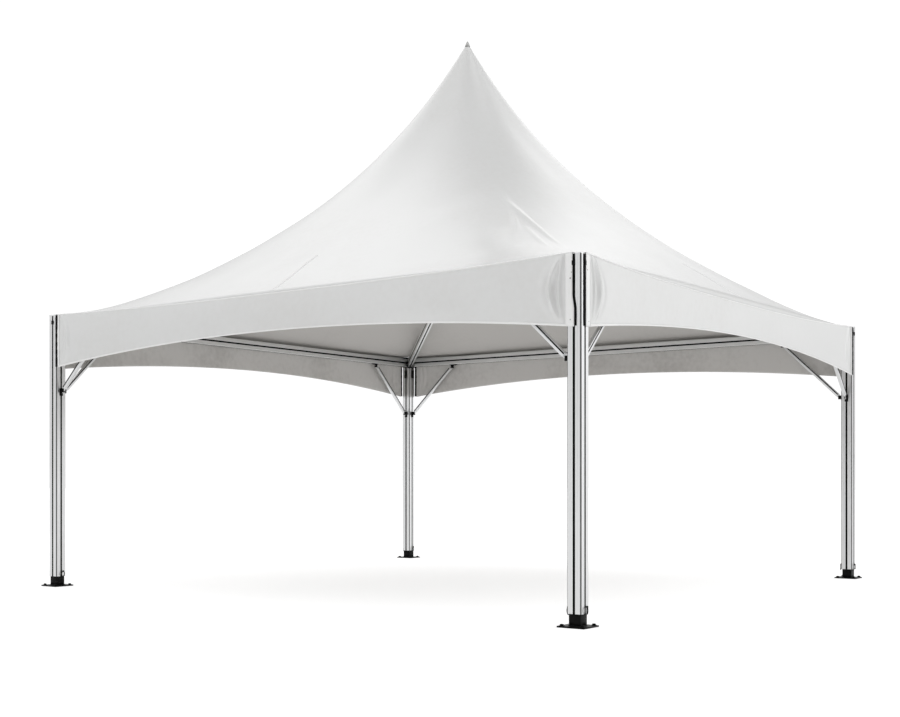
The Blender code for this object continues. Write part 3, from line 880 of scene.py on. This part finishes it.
# %% [markdown]
# A black strip closes the gap between each band and its leg. Where a band stops beside its
# leg, that strip is painted shadow of the gap. At the front right corner it is webbing on the
# flap's edge and runs down the slot of the leg, drifting a little where the flap pulls at it.
# A short strip of the same kind as the bands makes it, with a thicker wall. Small clamps in
# the slots hold the upper corners, and rivets the lower ones.

# %% Webbing, clamps and rivets
WEB_THICK = 0.003
WEB_TOP = 2.284
CLAMP_Z, CLAMP_HEIGHT = (2.212, 2.245), 0.0075


# A black strip: webbing on the flap, painted shadow of the gap where a band stops short
def webbing(low_x, high_x, end_z, drift=0.0, y=LEG_OUTER + WEB_THICK):
    def shape(along, t):
        z = WEB_TOP + (end_z - WEB_TOP) * t
        x = low_x + (high_x - low_x) * along
        return Vector((x + slide(z, drift), -y - 0.0006 * math.sin(90 * z), z))

    return facing(strip(2, 48, shape), (0, -1, 0))


def clamp(x, low=CLAMP_Z[0], high=CLAMP_Z[1], half_width=0.0105):
    corner = (x - half_width, -LEG_OUTER - CLAMP_HEIGHT, low)
    return block(corner, (x + half_width, -LEG_OUTER + 0.001, high), 0.003, 3)


def dome(x, z, radius, y=OUT):
    bm = bmesh.new()
    bmesh.ops.create_uvsphere(bm, u_segments=16, v_segments=10, radius=radius)
    bmesh.ops.scale(bm, vec=(1, 0.5, 1), verts=bm.verts)
    bmesh.ops.translate(bm, vec=(x, -y - HEM_LIFT, z), verts=bm.verts)
    return bm


for turns, (side, lap) in enumerate(zip(SIDES, LAPS)):
    webs, clamps = [], []
    for end, reach in zip((-1, 1), band_reach(lap)):
        bottom = EAVE_Z - band_depth(reach) + 0.004
        if lap == "right" and end == 1:
            webs.append(webbing(2.4934, 2.5073, bottom, drift=WEB_DRIFT))
            clamps.append(clamp(2.4965))
        elif lap == "left" and end == -1:
            webs.append(webbing(-2.5215, -2.5022, bottom))
            clamps.append(clamp(-2.503))
        else:
            # Where the band stops beside the leg, the black strip is painted shadow of the gap
            inner, outer = SHORT_END - 0.003, LEG_INNER + 0.003
            low_x, high_x = sorted((end * inner, end * outer))
            webs.append(webbing(low_x, high_x, bottom, y=OUT + 0.0035))
            clamps.append(clamp(end * HALF))
    web = write_piece(f"webbing_{side}", joined(*webs), black_strap_and_gap_shade, turns, sharp=180)
    wall = web.modifiers.new("wall", "SOLIDIFY")
    wall.thickness, wall.offset = WEB_THICK, -1
    write_piece(f"clamps_{side}", joined(*clamps), black_paint, turns)
    trims[side].append(web)

rivets = {
    "front": [dome(2.479, 1.882, 0.0045), dome(2.488, 2.171, 0.004), dome(2.4795, 2.135, 0.006)],
    "right": [dome(-2.466, 1.874, 0.0045), dome(-2.483, 2.188, 0.005)],
}
for side, domes in rivets.items():
    piece = write_piece(f"rivets_{side}", joined(*domes), bolt_metal,
                        SIDES.index(side))
    trims[side].append(piece)

print("webbing, clamps and rivets on the bands")

# %% [markdown]
# ## The profiles
#
# Legs, beams and rafters are pressed profiles with a slot down each face, narrow at the
# mouth and wider behind it, where the nuts slide. The section is cut out of a flat sheet:
# lines are cut across it, the cells that are air are deleted, and what is left is drawn out
# to the bar's length. Boolean cuts would give the same shape with rougher meshes.

# %% Slotted sections
LIP = 0.003
ROUNDING = 0.0006


class Section:
    """Half sizes of a profile, its slots' half widths and depth, and its wall."""

    def __init__(self, half, mouth, pocket, depth, wall, groove=None):
        self.half = half
        self.mouth, self.pocket, self.depth, self.wall = mouth, pocket, depth, wall
        self.groove = groove

    def lines(self, axis):
        reach = self.half[axis]
        lines = [self.mouth, self.pocket, reach - self.depth, reach - self.depth - self.wall,
                 reach - LIP]
        if self.groove:
            place, width, deep = self.groove
            lines += [place - width / 2, place + width / 2, reach - deep]
        return lines

    def is_air(self, x, y):
        place = (abs(x), abs(y))
        depths = [self.half[axis] - place[axis] for axis in range(2)]
        if min(depths) > self.depth + self.wall:
            return True
        for axis in range(2):
            beside, deep = place[1 - axis], depths[axis]
            if deep < self.depth and beside < self.mouth:
                return True
            if LIP < deep < self.depth and beside < self.pocket:
                return True
            if self.groove and deep < self.groove[2]:
                if abs(beside - self.groove[0]) < self.groove[1] / 2:
                    return True
        return False

    def flat(self, chamfer):
        bm = bmesh.new()
        bmesh.ops.create_grid(bm, x_segments=1, y_segments=1, size=1.0)
        bmesh.ops.scale(bm, vec=(*self.half, 1), verts=bm.verts)
        for axis, normal in enumerate(((1, 0, 0), (0, 1, 0))):
            for line in self.lines(axis):
                for sign in (-1, 1):
                    cut_flat(bm, Vector(normal) * line * sign, normal)
        for sign_x in (-1, 1):
            for sign_y in (-1, 1):
                corner = Vector((sign_x * (self.half[0] - chamfer), sign_y * self.half[1], 0))
                cut_flat(bm, corner, (sign_x, sign_y, 0), clear=True)
        air = [f for f in bm.faces if self.is_air(*f.calc_center_median()[:2])]
        bmesh.ops.delete(bm, geom=air, context="FACES")
        edges = [vert for vert in bm.verts if self.is_outer_corner(vert)]
        bmesh.ops.bevel(bm, geom=edges, offset=ROUNDING, offset_type="OFFSET", segments=2,
                        profile=0.5, affect="VERTICES", material=-1)
        return bm

    def is_outer_corner(self, vert):
        place = (abs(vert.co.x), abs(vert.co.y))
        outside = [abs(place[axis] - self.half[axis]) < 1e-6 for axis in range(2)]
        rim = [edge for edge in vert.link_edges if edge.is_boundary]
        if not any(outside) or len(rim) != 2:
            return False
        beside = place[1 if outside[0] else 0]
        if self.groove and abs(beside - self.groove[0]) < self.groove[1]:
            return False
        ways = [(edge.other_vert(vert).co - vert.co).normalized() for edge in rim]
        return ways[0].dot(ways[1]) > -0.99


def cut_flat(bm, point, normal, clear=False):
    whole = bm.verts[:] + bm.edges[:] + bm.faces[:]
    bmesh.ops.bisect_plane(bm, geom=whole, dist=1e-7, plane_co=point, plane_no=normal,
                           clear_outer=clear)


def drawn_out(bm, start, end, up=(0, 0, 1)):
    """Draws a flat section out between two points. Its ends stay upright on a slope."""
    new = bmesh.ops.extrude_face_region(bm, geom=bm.faces[:])["geom"]
    ends = [item for item in new if isinstance(item, bmesh.types.BMVert)]
    bmesh.ops.translate(bm, vec=(0, 0, 1), verts=ends)
    start, up = Vector(start), Vector(up)
    run = Vector(end) - start
    matrix = Matrix((up.cross(run).normalized(), up, run)).transposed().to_4x4()
    matrix.translation = start
    moved(bm, matrix)
    bmesh.ops.recalc_face_normals(bm, faces=bm.faces)
    return grained(bm, run)


def grained(bm, direction):
    """Maps a bar for the pressed lines: along its length, and across it."""
    along = Vector(direction).normalized()
    side = along.orthogonal().normalized()
    across = side + along.cross(side)
    layer = bm.loops.layers.uv.verify()
    for face in bm.faces:
        for loop in face.loops:
            loop[layer].uv = (loop.vert.co.dot(along), loop.vert.co.dot(across))
    return bm


LEG_SECTION = Section((LEG_HALF, LEG_HALF), 0.0075, 0.011, 0.0115, 0.003, (0.025, 0.0012, 0.0007))
BEAM_SECTION = Section((0.035, BEAM_HEIGHT / 2), 0.007, 0.010, 0.011, 0.003)
RAFTER_SECTION = Section((0.025, 0.039), 0.006, 0.0085, 0.009, 0.003)
print("sections of a leg, a beam and a rafter")

# %% [markdown]
# Each bar is drawn out between the points where the solids have it. A black strip closes
# every slot and laps its edges a little: it is painted shade, for the dark hollow of the slot.
# The legs' bevelled corners are darker than their faces, and that dark grey is painted shade.
# The beams carry a thin rail along their upper outer edge, which rises to the skin.

# %% Legs, beams and rafters
LEG_TOP = leg_high.z
RAIL_THICK = 0.006
STRIP_PROUD, STRIP_LAP = 0.0003, 0.0007


def slot_strips(section, start, end, up=(0, 0, 1)):
    """The four black strips that fill a profile's slots, as one bmesh: painted shade for the slots' hollows."""
    strips = []
    for axis in range(2):
        for sign in (-1, 1):
            far = section.half[axis] + STRIP_PROUD
            near = section.half[axis] - section.depth + 0.0005
            low, high = sorted((sign * near, sign * far))
            size = [0.0, 0.0]
            size[axis], size[1 - axis] = high - low, 2 * (section.mouth + STRIP_LAP)
            centre = [0.0, 0.0, 0.0]
            centre[axis] = (high + low) / 2
            bm = bmesh.new()
            bmesh.ops.create_grid(bm, x_segments=1, y_segments=1, size=0.5)
            bmesh.ops.scale(bm, vec=(*size, 1), verts=bm.verts)
            bmesh.ops.translate(bm, vec=centre, verts=bm.verts)
            strips.append(painted(drawn_out(bm, start, end, up), 1))
    return joined(*strips)


def shade_painted_corners(bm, longer_than):
    """Gives the bevelled corners of a leg the third finish, a dark grey that is painted shade."""
    for face in bm.faces:
        slanting = abs(abs(face.normal.x) - abs(face.normal.y)) < 0.05
        if slanting and face.calc_area() > longer_than:
            face.material_index = 2
    return bm


def bar_of(section, chamfer, start, end, up=(0, 0, 1)):
    bm = drawn_out(section.flat(chamfer), start, end, up)
    return joined(bm, slot_strips(section, start, end, up))


def rail(turns):
    """A thin wall from the beam's outer edge up to the skin, wherever that has sunk to."""
    outer = -HALF - BEAM_SECTION.half[0] + 0.0008

    def shape(along, t):
        x = BEAM_REACH * (2 * along - 1)
        there = quarter(turns) @ Vector((x, outer, 0))
        top = skin_height(there.x, there.y) - 2 * CLOTH_THICK
        return Vector((x, outer, BEAM_TOP - 0.001 + (max(top, BEAM_TOP) - BEAM_TOP + 0.001) * t))

    bm = facing(strip(60, 1, shape), (0, -1, 0))
    bmesh.ops.solidify(bm, geom=bm.faces[:], thickness=RAIL_THICK)
    return bm


BEAM_REACH = beam_high.x
HUB_REACH = 0.0753
RAFTER_REACH = HALF * math.sqrt(2) - 0.1063
CROWN_Z, RAFTER_LOW_Z = 3.000, 2.222

for turns, corner in enumerate(CORNERS):
    axis = quarter(turns) @ Vector((HALF, -HALF, 0))
    foot, head = axis + Vector((0, 0, leg_low.z)), axis + Vector((0, 0, LEG_TOP))
    bm = shade_painted_corners(bar_of(LEG_SECTION, 0.008, foot, head, up=(0, 1, 0)), 0.002)
    finishes = [leg_metal, black_slot_painted_shade, leg_corner_painted_shade]
    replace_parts(write_piece(f"leg_profile_{corner}", bm, finishes),
                f"leg_{corner}")

    outwards = Matrix.Rotation(math.radians(90 * turns - 45), 3, "Z") @ Vector((1, 0, 0))
    fall = (CROWN_Z - RAFTER_LOW_Z) / RAFTER_REACH
    start = outwards * HUB_REACH + Vector((0, 0, CROWN_Z - fall * HUB_REACH))
    end = outwards * RAFTER_REACH + Vector((0, 0, RAFTER_LOW_Z))
    bm = bar_of(RAFTER_SECTION, 0.002, start, end)
    finishes = [bar_metal, black_slot_painted_shade]
    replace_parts(write_piece(f"rafter_profile_{corner}", bm, finishes),
                f"hip_rafter_{corner}")

for turns, side in enumerate(SIDES):
    middle = BEAM_TOP - BEAM_HEIGHT / 2
    ends = [(sign * BEAM_REACH, -HALF, middle) for sign in (-1, 1)]
    bm = grained(joined(bar_of(BEAM_SECTION, 0.002, *ends), rail(turns)), (1, 0, 0))
    finishes = [bar_metal, black_slot_painted_shade]
    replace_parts(write_piece(f"beam_profile_{side}", bm, finishes, turns),
                f"eave_beam_{side}")
print("legs, beams and rafters drawn out")

# %% [markdown]
# A cast fitting joins the beams and the rafter to the head of each leg. Only a thin plate of
# it shows between leg and beam, with a short strap under each beam and a lug for the rafter.
# It is built up from small bevelled blocks, as a welded fitting is.

# %% Fittings at the leg heads
CLEAT_THICK = 0.005
BEAM_LOW = beam_low.z
LUG_LOW, LUG_HIGH, LUG_FACE = 2.167, 2.257, 0.106
FIX_LOW, FIX_HIGH, FIX_HALF = 2.058, 2.146, 0.014
CAP_TOP = EAVE_Z + 0.0015


def corner_fitting():
    """Round the leg axis at the front right corner, with the beams towards -X and +Y."""
    face = LEG_HALF + 0.0003
    parts = []
    # The same parts serve both beams: a quarter turn clockwise brings one to the other
    for turn in (0, -math.pi / 2):
        way = Matrix.Rotation(turn, 4, "Z")
        cleat = block((-face - CLEAT_THICK, -0.035, BEAM_LOW - 0.004), (-face, 0.035, HEAD_Z - 0.001))
        leaf = block((-face - 0.010, -FIX_HALF, FIX_LOW), (-face, FIX_HALF, FIX_HIGH), 0.002)
        neck = block((-face - 0.005, -0.009, FIX_HIGH - 0.01), (-face, 0.009, BEAM_LOW - 0.0003))
        strap = block((-face - 0.060, -FIX_HALF, BEAM_LOW - 0.0053), (-face, FIX_HALF, BEAM_LOW - 0.0003),
                      0.001)
        bolts = [bolt((-face - 0.010, 0, z), (-1, 0, 0), 0.006) for z in (2.078, 2.125)]
        under = bolt((-face - 0.040, 0, BEAM_LOW - 0.0053), (0, 0, -1), 0.006)
        parts += [moved(part, way) for part in (cleat, leaf, neck, strap, *bolts, under)]
    inwards = Matrix.Rotation(math.radians(135), 4, "Z")
    start = face * math.sqrt(2) - 0.004
    lug = block((start, -0.010, LUG_LOW + 0.001), (LUG_FACE - 0.001, 0.010, LUG_HIGH - 0.001), 0.001)
    seat = block((LUG_FACE - 0.006, -0.028, LUG_LOW), (LUG_FACE, 0.028, LUG_HIGH), 0.001)
    heads = [bolt((LUG_FACE - 0.006, y, z), (-1, 0, 0), 0.007)
             for y in (-0.019, 0.019) for z in (2.182, 2.242)]
    return joined(*parts, *[moved(part, inwards) for part in (lug, seat, *heads)])


def leg_cap(height):
    """Closes the leg's head as high as the skin, with its corners rounded over."""
    bm = block((-LEG_HALF, -LEG_HALF, LEG_TOP), (LEG_HALF, LEG_HALF, height))
    upright = [e for e in bm.edges if abs(e.verts[0].co.z - e.verts[1].co.z) > 1e-3]
    bmesh.ops.bevel(bm, geom=upright, offset=0.009, offset_type="OFFSET", segments=3,
                    profile=0.5, affect="EDGES", material=-1)
    top = [e for e in bm.edges if min(v.co.z for v in e.verts) > height - 1e-5]
    bmesh.ops.bevel(bm, geom=top, offset=0.0035, offset_type="OFFSET", segments=3,
                    profile=0.5, affect="EDGES", material=-1)
    return grained(bm, (0, 0, 1))


to_leg = Matrix.Translation((HALF, -HALF, 0))
for turns, corner in enumerate(CORNERS):
    bm = moved(corner_fitting(), to_leg)
    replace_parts(write_piece(f"head_fitting_{corner}", bm, black_paint, turns),
                f"corner_bracket_{corner}")
    top = HEAD_Z if corner == "front_right" else CAP_TOP
    cap = moved(leg_cap(top), to_leg)
    write_piece(f"leg_cap_{corner}", cap, leg_metal, turns)
print("fittings and caps on four leg heads")

# %% [markdown]
# Slim stays run from the legs up to the beams, and their ends are bolted between two ears.
# The bar has rounded shoulders, and a black strip along the upper part of each side, painted
# shade for a narrow groove there, which draws a dark line beside the bright face. It is a
# bevelled block, laid along the line between its two ends, with tongues that are thin enough
# for the ears.

# %% Knee braces
STAY_HALF = 0.0165
STAY_FOOT_Z, STAY_RUN = 1.632, 0.575
EAR_THICK, EAR_REACH = 0.003, 0.040
TONGUE, TONGUE_AT = 0.055, 0.040


def stay_points():
    face_x = LEG_INNER - 0.0003
    return Vector((face_x, -HALF, STAY_FOOT_Z)), Vector((face_x - STAY_RUN, -HALF, BEAM_LOW - 0.0003))


def stay():
    """Made upright first: the bar's own X side becomes its upper side when it leans."""
    foot, head = stay_points()
    way, length = (head - foot).normalized(), (head - foot).length
    half = STAY_HALF
    start, end = 0.058, length - 0.058
    parts = [block((-half, -half * 0.85, start), (half, half * 0.85, end), 0.0045, 3)]
    for sign in (-1, 1):
        low, high = sorted((sign * (half * 0.85 - 0.002), sign * (half * 0.85 + 0.0003)))
        # A black strip in each side: painted shade for a narrow groove
        groove = block((0.0020, low, start + 0.004), (0.0118, high, end - 0.004), 0.0002, 1)
        parts.append(painted(groove, 1))
    for centre in (TONGUE_AT, length - TONGUE_AT):
        low, high = centre - TONGUE / 2, centre + TONGUE / 2
        parts.append(block((-half * 0.9, -0.004, low), (half * 0.9, 0.004, high), 0.002))
    upper = Vector((way.z, 0, -way.x))
    turn = Matrix((upper, way.cross(upper), way)).transposed().to_4x4()
    turn.translation = foot
    return grained(moved(joined(*parts), turn), way)


def stay_ends():
    """Plates with two ears on the leg and under the beam, and a bolt through each."""
    foot, head = stay_points()
    x, z = foot.x, head.z
    parts = [
        block((x - 0.006, -HALF - 0.015, STAY_FOOT_Z - 0.022), (x, -HALF + 0.015, STAY_FOOT_Z + 0.042),
              0.0015),
        block((head.x - 0.040, -HALF - 0.018, z - 0.006), (head.x + 0.040, -HALF + 0.018, z), 0.0015),
    ]
    for sign in (-1, 1):
        low, high = sorted((-HALF + sign * 0.0045, -HALF + sign * (0.0045 + EAR_THICK)))
        parts.append(block((x - EAR_REACH, low, STAY_FOOT_Z + 0.004), (x - 0.004, high, STAY_FOOT_Z + 0.038),
                           0.001))
        parts.append(block((head.x - 0.002, low, z - EAR_REACH), (head.x + 0.034, high, z - 0.004), 0.001))
        for centre in ((x - 0.026, STAY_FOOT_Z + 0.024), (head.x + 0.019, z - 0.026)):
            point = (centre[0], -HALF + sign * 0.0075, centre[1])
            parts.append(bolt(point, (0, sign, 0), 0.0055))
    parts.append(bolt((x - 0.006, -HALF, STAY_FOOT_Z - 0.010), (-1, 0, 0), 0.006))
    parts.append(bolt((head.x - 0.026, -HALF, z - 0.006), (0, 0, -1), 0.006))
    return joined(*parts)


about_face = (Matrix.Translation((0, -HALF, 0)) @ Matrix.Rotation(math.pi, 4, "Z")
              @ Matrix.Translation((0, HALF, 0)))
for turns, side in enumerate(SIDES):
    for other, flip in ((SIDES[(turns + 1) % 4], Matrix()), (SIDES[(turns + 3) % 4], about_face)):
        bm = moved(stay(), flip)
        finishes = [stay_metal, black_slot_painted_shade]
        piece = write_piece(f"stay_{side}_{other}", bm, finishes, turns)
        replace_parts(piece, f"knee_brace_{side}_{other}")
        write_piece(f"stay_ends_{side}_{other}", moved(stay_ends(), flip), black_paint,
                    turns)
print("eight stays with their ends")

# %% [markdown]
# Each leg stands on a black steel plate, bolted to the ground at its corners. A bead of weld
# runs round the foot of the box, and a pin with a knob and a pull ring locks the leg.

# %% Base plates and foot pins
PLATE_HALF, PLATE_THICK = 0.095, 0.010
BOX_HALF, BOX_TOP = 0.041, leg_low.z - 0.0003
ANCHOR_AT = 0.072
PIN_Z, PIN_ASIDE, PIN_R = 0.125, 0.020, 0.006
KNOB_R = 0.0075
RING_WIRE = 0.0030
# Each pull ring's centre, from the leg's axis at the ground, the way it faces and its radius
PULL_RINGS = (
    ((-0.0700, 0.0078, 0.1000), (0.983, 0.182, 0.0), 0.028),
    ((0.0575, 0.0150, 0.1030), (0.940, 0.342, 0.0), 0.021),
)


def ring(centre, way, radius, wire):
    bm = bmesh.new()
    circle = bmesh.ops.create_circle(bm, segments=12, radius=wire)["verts"]
    bmesh.ops.rotate(bm, matrix=Matrix.Rotation(math.pi / 2, 3, "X"), verts=circle)
    bmesh.ops.translate(bm, vec=(radius, 0, 0), verts=circle)
    bmesh.ops.spin(bm, geom=bm.verts[:] + bm.edges[:], cent=(0, 0, 0), axis=(0, 0, 1),
                   angle=2 * math.pi, steps=48, use_merge=True)
    bmesh.ops.recalc_face_normals(bm, faces=bm.faces)
    turn = Vector(way).to_track_quat("Z", "Y").to_matrix().to_4x4()
    return moved(bm, Matrix.Translation(centre) @ turn)


def anchor(x, y):
    washer = bar((x, y, PLATE_THICK - 0.001), (x, y, PLATE_THICK + 0.0025), 0.017, 28, 0.0006)
    head = bar((x, y, PLATE_THICK), (x, y, PLATE_THICK + 0.0105), 0.012, 6, 0.0012)
    stud = bar((x, y, PLATE_THICK), (x, y, PLATE_THICK + 0.0115), 0.005, 16, 0.0006)
    return joined(washer, head, stud)


def base_plate():
    half = PLATE_HALF
    parts = [
        block((-half, -half, 0), (half, half, PLATE_THICK), 0.0018),
        block((-BOX_HALF, -BOX_HALF, 0.005), (BOX_HALF, BOX_HALF, BOX_TOP), 0.0025, 3),
        block((-0.035, -0.035, BOX_TOP - 0.004), (0.035, 0.035, 0.235), 0.003),
    ]
    corners = [(BOX_HALF, BOX_HALF), (-BOX_HALF, BOX_HALF), (-BOX_HALF, -BOX_HALF), (BOX_HALF, -BOX_HALF)]
    for first, second in zip(corners, corners[1:] + corners[:1]):
        parts.append(bar((*first, PLATE_THICK), (*second, PLATE_THICK), 0.0035, 12))
    parts += [anchor(x, y) for x in (-ANCHOR_AT, ANCHOR_AT) for y in (-ANCHOR_AT, ANCHOR_AT)]
    return joined(*parts)


def foot_pin():
    face = LEG_HALF + 0.0003
    ends = [(-face - 0.018, 0, 0), (face, 0, 0), (face + 0.006, 0, 0), (face + 0.009, 0, 0)]
    shaft = bar(ends[0], ends[1], PIN_R, 24, 0.0012)
    knob = bar(ends[1], ends[2], KNOB_R, 28, 0.0014)
    tip = bar(ends[2], ends[3], KNOB_R * 0.8, 28, 0.0016)
    aside = Vector((0, PIN_ASIDE, PIN_Z))
    rings = [ring(Vector(centre) - aside, way, radius, RING_WIRE)
             for centre, way, radius in PULL_RINGS]
    return moved(joined(shaft, knob, tip, *rings), Matrix.Translation(aside))


for turns, corner in enumerate(CORNERS):
    spot = Matrix.Translation(quarter(turns) @ Vector((HALF, -HALF, 0)))
    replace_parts(write_piece(f"foot_{corner}", moved(base_plate(), spot), black_paint),
                f"base_plate_{corner}")
    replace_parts(write_piece(f"locking_pin_{corner}", moved(foot_pin(), spot), black_paint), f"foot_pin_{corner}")
print("four feet with their pins")

# %% [markdown]
# The crown hub, the king post and the peak cap keep their solids, whose shapes are right,
# and only get their finish. Bolts through the hub hold the rafters' ends.

# %% Crown and peak
for name, material, slot in (
    ("crown_hub", black_paint, "black_steel"),
    ("king_post", post_metal, "frame_aluminium"),
    ("peak_cap", cap_plastic, "cap_plastic"),
):
    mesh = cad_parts[name].data
    mesh.materials.clear()
    mesh.materials.append(material)

hub_low, hub_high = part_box("crown_hub")
hub_bolts = []
for turns in range(4):
    way = Matrix.Rotation(math.radians(90 * turns + 45), 3, "Z")
    for step in (-0.052, 0.052):
        for z in (hub_low.z + 0.025, hub_low.z + 0.095):
            point = way @ Vector((0.075, step, 0)) + Vector((0, 0, z))
            hub_bolts.append(bolt(point, way @ Vector((1, 0, 0)), 0.007))
    socket = way @ Vector((0.042, 0, 0)) + Vector((0, 0, hub_high.z - 0.045))
    hub_bolts.append(bolt(socket, way @ Vector((1, 0, 0)), 0.006))
write_piece("hub_bolts", joined(*hub_bolts), bolt_metal)
print(len(hub_bolts), "bolts on the hub")
